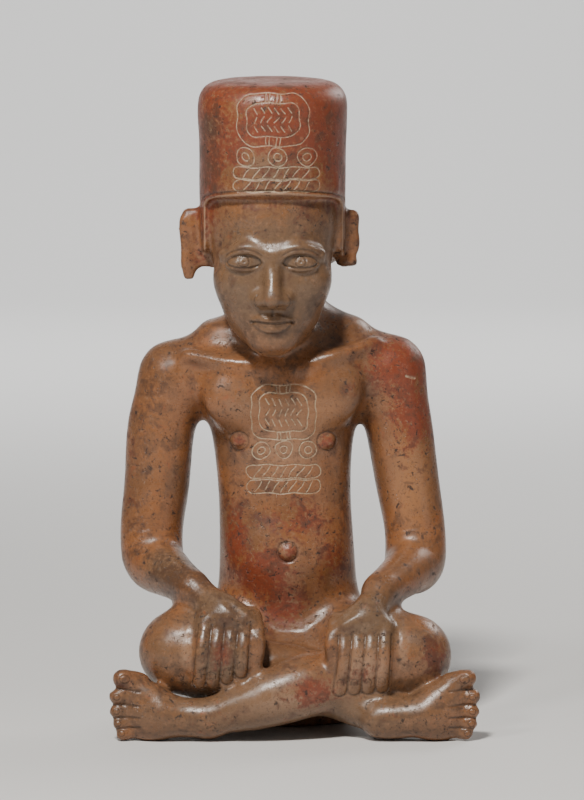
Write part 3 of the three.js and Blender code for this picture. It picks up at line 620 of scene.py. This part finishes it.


# Soft patches of each finish and of painted light and shadow, by place and reach in mm and strength; one
# below nought takes away

patchFade = 1.1
patches = {
    "redSlip": [
        ((-11, 0, 306), (80, 80, 40), 1.15), ((24, -10, 302), (16, 44, 40), 1.1),
        ((-47, 0, 240), (9, 20, 26), 0.45), ((-11, 0, 328), (60, 60, 10), 1.2),
        ((-44, -6, 290), (12, 40, 44), 1.15), ((-10, 30, 262), (56, 34, 40), 0.85),
        ((-12, -36, 284), (20, 20, 11), -0.6), ((-25, -34, 314), (11, 16, 9), -0.4),
        ((-40, -24, 305), (11, 14, 10), -0.45), ((56, 0, 184), (22, 32, 18), 1.0),
        ((61, -2, 159), (16, 36, 22), 0.92), ((40, 0, 240), (9, 20, 26), 0.4),
        ((-17, -12, 78), (19, 22, 15), 1.0), ((-31, -6, 94), (9, 22, 24), 0.8),
        ((3, -12, 106), (25, 18, 14), 0.62), ((21, -10, 84), (13, 18, 20), 0.6),
        ((-5, -20, 61), (17, 26, 13), 0.85), ((15, -32, 62), (12, 20, 10), -0.9),
        ((-36, -60, 46), (6, 12, 10), 0.6), ((35, -62, 34), (12, 14, 7), 0.42),
        ((9, -60, 25), (15, 20, 10), 0.78), ((71, -50, 42), (12, 20, 12), 0.5),
        ((-73, -50, 57), (12, 20, 10), 0.32), ((30, -16, 172), (5, 8, 5), 0.6),
        ((16, -6, 145), (5, 8, 5), 0.75), ((-28, -6, 145), (5, 8, 5), 0.65),
        ((-3, -13, 90), (5, 8, 5), 0.75), ((-86, 0, 130), (9, 30, 50), 0.34),
        ((-92, -60, 25), (8, 20, 14), 0.35), ((30, -8, 132), (8, 16, 22), 0.3),
        ((10, 50, 150), (40, 26, 40), 0.4), ((-30, 50, 50), (34, 26, 30), 0.45),
        ((-50, 20, 186), (22, 20, 14), 0.4),
    ],
    "olive": [
        ((-26, -30, 302), (15, 16, 24), 0.75), ((-11, -24, 232), (46, 44, 46), 1.0),
        ((0, -44, 16), (120, 50, 30), 0.9), ((-38, -52, 62), (26, 24, 22), 1.0),
        ((38, -53, 60), (24, 24, 22), 1.0), ((-12, -36, 284), (20, 18, 12), 0.8),
        ((-40, -24, 305), (11, 14, 10), 0.9), ((-62, -48, 46), (30, 30, 26), 0.65),
        ((64, -48, 46), (28, 30, 26), 0.6), ((-62, -22, 82), (22, 26, 14), 0.9),
        ((-37, -58, 42), (20, 16, 22), 0.95), ((34, -58, 40), (18, 16, 22), 0.6),
        ((-10, -14, 168), (40, 14, 20), 0.35), ((60, -20, 82), (14, 20, 12), 0.35),
        ((-60, 6, 150), (20, 30, 40), 0.3),
    ],
    # Pale worn clay on the cap, ear, legs and feet; the pale patches on the middle and upper left of the
    # chest, the right collar and the right fingers are painted highlights
    "pale": [
        ((-5, -12, 142), (28, 18, 24), 0.75), ((58, -6, 122), (14, 20, 30), 0.3),
        ((0, -62, 22), (34, 24, 13), 0.85), ((35, -60, 36), (14, 14, 15), 1.1),
        ((-27, -12, 166), (20, 20, 14), 0.5), ((15, -32, 63), (12, 20, 9), 0.95),
        ((30, -14, 182), (12, 14, 10), 0.5), ((-11, -38, 226), (22, 14, 26), 0.3),
        ((-14, -38, 290), (16, 12, 16), 0.6), ((-24, -34, 314), (11, 14, 9), 0.7),
        ((-46, 0, 240), (8, 20, 20), 0.45), ((-72, -8, 136), (12, 20, 40), 0.35),
        ((38, -66, 42), (10, 10, 16), 0.35), ((-54, -58, 48), (4, 20, 15), 1.0),
        ((54, -58, 46), (4, 20, 15), 1.0), ((-3, -14, 90), (9, 10, 9), 0.8),
        ((86, -66, 12), (10, 14, 14), 0.3),
    ],
    # A warm tan that is partly painted highlight, brightening the chest, shoulders, arms and shins
    "tan": [
        ((59, -6, 124), (16, 24, 36), 1.0), ((16, -12, 158), (18, 16, 16), 0.8),
        ((-26, -12, 158), (18, 16, 18), 0.45), ((-70, -10, 126), (12, 20, 34), 0.45),
        ((40, -8, 186), (16, 18, 10), 0.5), ((-60, -6, 182), (18, 18, 10), 0.4),
        ((-6, -20, 100), (16, 14, 12), 0.3), ((24, -60, 26), (26, 20, 10), 0.5),
        ((-30, -62, 14), (34, 20, 9), 0.3), ((-58, -54, 52), (14, 14, 12), 0.4),
        ((66, -20, 92), (14, 20, 10), 0.5),
    ],
    "whole": [
        ((-11, -26, 226), (38, 40, 46), 0.95), ((-8, -40, 300), (26, 24, 30), 0.55),
        ((-6, -14, 142), (22, 14, 30), 0.6), ((0, -64, 24), (44, 20, 13), 0.45),
        ((58, -10, 125), (12, 14, 30), 0.4), ((-70, -10, 130), (10, 14, 34), 0.4),
        ((44, -14, 192), (12, 20, 10), 0.4), ((-44, -14, 188), (14, 20, 10), 0.4),
    ],
    # Dark stains, and painted shadow: the two patches on the throat under the chin, at (-17, -10, 190) and
    # (-2, -12, 184), paint the head's shadow
    "sootAndShadow": [
        ((-40, -23, 305), (10, 16, 9), 0.95), ((27, -20, 306), (6, 16, 10), 0.55),
        ((-17, -10, 190), (14, 14, 6), 0.35), ((-40, -50, 66), (12, 12, 8), 0.5),
        ((71, -50, 58), (12, 16, 8), 0.55), ((36, -8, 150), (8, 14, 14), 0.45),
        ((-76, 0, 140), (8, 16, 30), 0.4), ((3, -14, 108), (22, 12, 9), 0.5),
        ((-66, -50, 30), (16, 20, 9), 0.5), ((30, -4, 100), (8, 16, 20), 0.4),
        ((-30, -34, 262), (8, 10, 30), 0.25), ((-80, 0, 180), (12, 20, 16), 0.4),
        ((50, -20, 66), (12, 20, 8), 0.45), ((-30, 4, 150), (8, 20, 26), 0.45),
        ((88, -60, 20), (9, 12, 16), 0.4), ((-60, -34, 79), (24, 26, 17), 0.95),
        ((-35, -54, 58), (20, 18, 18), 0.8), ((-44, -16, 288), (14, 30, 40), 0.72),
        ((-80, -4, 98), (10, 20, 18), 0.6), ((-70, 0, 176), (14, 22, 16), 0.5),
        ((-2, -12, 184), (20, 18, 8), 0.55),
    ],
}


def patchStrength(points, patchList):
    total = np.zeros(len(points), dtype=np.float32)
    for centre, reach, strength in patchList:
        away = (points / mm - np.array(centre)) / np.array(reach)
        there = strength * np.exp(-patchFade * (away ** 2).sum(1))
        total = np.maximum(total, there) if strength > 0 else total * (1 + there)
    return total


def finishSkin(bm, marks):
    mesh = bpy.data.meshes.new("seatedFigure")
    low, high = cadBox
    for v in bm.verts:
        for axis in range(3):
            v.co[axis] = min(max(v.co[axis], low[axis]), high[axis])
    bm.to_mesh(mesh)
    bm.free()
    points = np.empty(3 * len(mesh.vertices), dtype=np.float32)
    mesh.vertices.foreach_get("co", points)
    points = points.reshape(-1, 3)
    layers = {name: patchStrength(points, patchList) for name, patchList in patches.items()}
    for kind in ("scored", "crease", "nail", "iris", "rim"):
        layers[kind] = marks[kind]
    for name, values in layers.items():
        mesh.attributes.new(name, "FLOAT", "POINT").data.foreach_set("value", values)
    for polygon in mesh.polygons:
        polygon.use_smooth = True
    return mesh


figure.data = finishSkin(carving.bm, marks)
print("finishes placed")


# Burnished clay

clay = {
    "brown": (0.17, 0.078, 0.036, 1.0), "orange": (0.245, 0.098, 0.038, 1.0),
    "olive": (0.15, 0.088, 0.049, 1.0), "red": (0.195, 0.036, 0.015, 1.0),
    "pale": (0.34, 0.2, 0.122, 1.0), "dark": (0.03, 0.017, 0.012, 1.0),
    "tan": (0.36, 0.16, 0.066, 1.0), "umber": (0.075, 0.036, 0.02, 1.0),
    "rust": (0.28, 0.075, 0.028, 1.0), "lime": (0.5, 0.4, 0.27, 1.0),
}
# Each grain's scale, detail, roughness and distortion
grains = {
    "broad": (26.0, 3.0, 0.6, 0.0), "clusters": (55.0, 3.0, 0.6, 0.0),
    "middling": (110.0, 6.0, 0.68, 0.4), "fine": (460.0, 5.0, 0.72, 0.0), "dust": (1500.0, 2.0, 0.6, 0.0),
    "rust": (240.0, 5.0, 0.7, 0.5), "pits": (330.0, 5.0, 0.7, 0.5), "specks": (800.0, 5.0, 0.7, 0.5),
}
# Flecks: the grain values where one starts and is full, where its swarms start, its share at most
flecks = {
    "rust": (0.56, 0.66, 0.42, 0.4), "pits": (0.595, 0.63, 0.38, 0.9), "specks": (0.605, 0.64, 0.28, 0.85),
}
# How far past its start a swarm is whole, and the strength at which its flecks show fully
swarms = {"edge": 0.2, "full": 0.6}
# Patches: the values where one starts and is full, how ragged its edge is, and its share at most
coats = {
    "olive": (0.15, 0.85, 0.7, 1.0), "tan": (0.15, 0.95, 0.9, 0.75), "pale": (0.15, 0.95, 1.1, 0.6),
    "redSlip": (0.28, 0.7, 1.7, 0.86), "sootAndShadow": (0.25, 0.85, 1.5, 0.72),
}
# Worn grain: its name, the values where the colour starts and is full, its share at most, the colour
wear = [
    ("middling", 0.5, 0.64, 0.6, "umber"),
    ("fine", 0.52, 0.68, 0.5, "umber"),
    ("fine", 0.46, 0.32, 0.3, "pale"),
]
# Carved lines: the mark where the colour starts, its share at most, and the colour. The dark tints are
# painted shade in the creases, nail outlines and iris rings, and the pale tint on the cap's raised rim
# roll is a painted highlight
lineTints = {
    "crease": (0.3, 0.42, "dark"), "nail": (0.4, 0.4, "dark"), "iris": (0.4, 0.4, "dark"),
    "rim": (0.4, 0.7, "pale"),
}
# The pale fill of the scored lines: where it starts and is full by mark and by grain, its share at most
lime = {"mark": (0.3, 0.9), "grain": (0.4, 0.56), "least": 0.3, "share": 0.62}
# The ground's two colours, the roughness by grain, and what each layer adds to roughness and relief
surface = {
    "ground": (0.4, 0.62), "burnish": (0.3, 0.7), "gloss": (0.2, 0.36), "specular": 0.5,
    "rougher": {"fine": 0.08, "pits": 0.3, "scored": 0.3, "redSlip": 0.07},
    "relief": {"middling": 0.7, "fine": 0.3, "dust": 0.07, "pits": -0.5, "specks": -0.2},
    "broadRelief": 1.4, "bump": 0.55, "bumpDepth": 0.5 * mm,
}


def node(tree, kind, inputs=(), **settings):
    made = tree.nodes.new(kind)
    for key, value in settings.items():
        setattr(made, key, value)
    for name, value in dict(inputs).items():
        if isinstance(value, bpy.types.NodeSocket):
            tree.links.new(value, made.inputs[name])
        else:
            made.inputs[name].default_value = value
    return made


def clayMaterial():
    material = bpy.data.materials.new("burnishedEarthenware")
    material.use_nodes = True
    tree = material.node_tree
    shader = tree.nodes["Principled BSDF"]
    place = node(tree, "ShaderNodeTexCoord").outputs["Object"]

    def grain(name):
        scale, detail, roughness, warp = grains[name]
        values = {
            "Vector": place, "Scale": scale, "Detail": detail, "Roughness": roughness, "Distortion": warp}
        return node(tree, "ShaderNodeTexNoise", values).outputs["Fac"]

    def marked(name):
        return node(tree, "ShaderNodeAttribute", attribute_name=name).outputs["Fac"]

    def spread(value, low, high, bottom=0.0, top=1.0):
        values = {"Value": value, "From Min": low, "From Max": high, "To Min": bottom, "To Max": top}
        return node(tree, "ShaderNodeMapRange", values, interpolation_type="SMOOTHSTEP").outputs["Result"]

    def combine(how, first, second):
        return node(tree, "ShaderNodeMath", {0: first, 1: second}, operation=how).outputs["Value"]

    def share(value, amount):
        return combine("MULTIPLY", value, amount)

    def layered(amount, under, over):
        values = {0: amount, 6: under, 7: clay[over]}
        return node(tree, "ShaderNodeMix", values, data_type="RGBA").outputs[2]

    grown = {name: grain(name) for name in ("broad", "clusters", "middling", "fine", "dust")}
    middling, fine = grown["middling"], grown["fine"]

    def coat(name):  # a patch whose edge breaks up with the middling and fine grain
        low, high, amount, _ = coats[name]
        worn = share(combine("SUBTRACT", middling, 0.5), amount)
        thin = share(combine("SUBTRACT", fine, 0.5), amount)
        return spread(combine("ADD", marked(name), combine("ADD", worn, thin)), low, high)

    def flecked(name):  # small spots that come in swarms, fewer where the burnish is whole
        low, high, gather, _ = flecks[name]
        gathered = spread(grown["clusters"], gather, gather + swarms["edge"])
        swarm = spread(combine("SUBTRACT", gathered, marked("whole")), 0.0, swarms["full"])
        return combine("MULTIPLY", spread(grain(name), low, high), swarm)

    red, pits, specks = coat("redSlip"), flecked("pits"), flecked("specks")
    color = layered(spread(grown["broad"], *surface["ground"]), clay["brown"], "orange")
    # olive, tan and pale patches over the ground; the tan and some pale patches are painted highlights
    for name in ("olive", "tan", "pale"):
        color = layered(share(coat(name), coats[name][3]), color, name)
    color = layered(share(flecked("rust"), flecks["rust"][3]), color, "rust")
    color = layered(share(red, coats["redSlip"][3]), color, "red")
    # umber stains, with painted shadow of the head on the throat under the chin
    color = layered(share(coat("sootAndShadow"), coats["sootAndShadow"][3]), color, "umber")
    for name, low, high, most, over in wear:
        color = layered(spread(grown[name], low, high, top=most), color, over)
    color = layered(share(pits, flecks["pits"][3]), color, "dark")
    color = layered(share(specks, flecks["specks"][3]), color, "dark")
    # painted shade darkens the carved creases, nails and irises, and a painted highlight lightens the rim
    # roll
    for name, (start, most, over) in lineTints.items():
        color = layered(spread(marked(name), start, 1.0, top=most), color, over)
    scoring = spread(marked("scored"), *lime["mark"])
    crumbs = spread(fine, *lime["grain"], bottom=lime["least"])
    color = layered(share(combine("MULTIPLY", scoring, crumbs), lime["share"]), color, "lime")
    tree.links.new(color, shader.inputs["Base Color"])

    layers = {**grown, "pits": pits, "specks": specks, "scored": marked("scored"), "redSlip": red}
    gloss = spread(middling, *surface["burnish"], *surface["gloss"])
    for name, amount in surface["rougher"].items():
        gloss = combine("ADD", gloss, share(layers[name], amount))
    tree.links.new(gloss, shader.inputs["Roughness"])
    shader.inputs["Specular IOR Level"].default_value = surface["specular"]

    relief = share(grown["broad"], surface["broadRelief"])
    for name, amount in surface["relief"].items():
        relief = combine("ADD", relief, share(layers[name], amount))
    values = {"Height": relief, "Strength": surface["bump"], "Distance": surface["bumpDepth"]}
    tree.links.new(node(tree, "ShaderNodeBump", values).outputs["Normal"], shader.inputs["Normal"])
    return material


figure.data.materials.append(clayMaterial())
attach(figure, "root")
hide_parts("seated_figure")
print("clay finished")
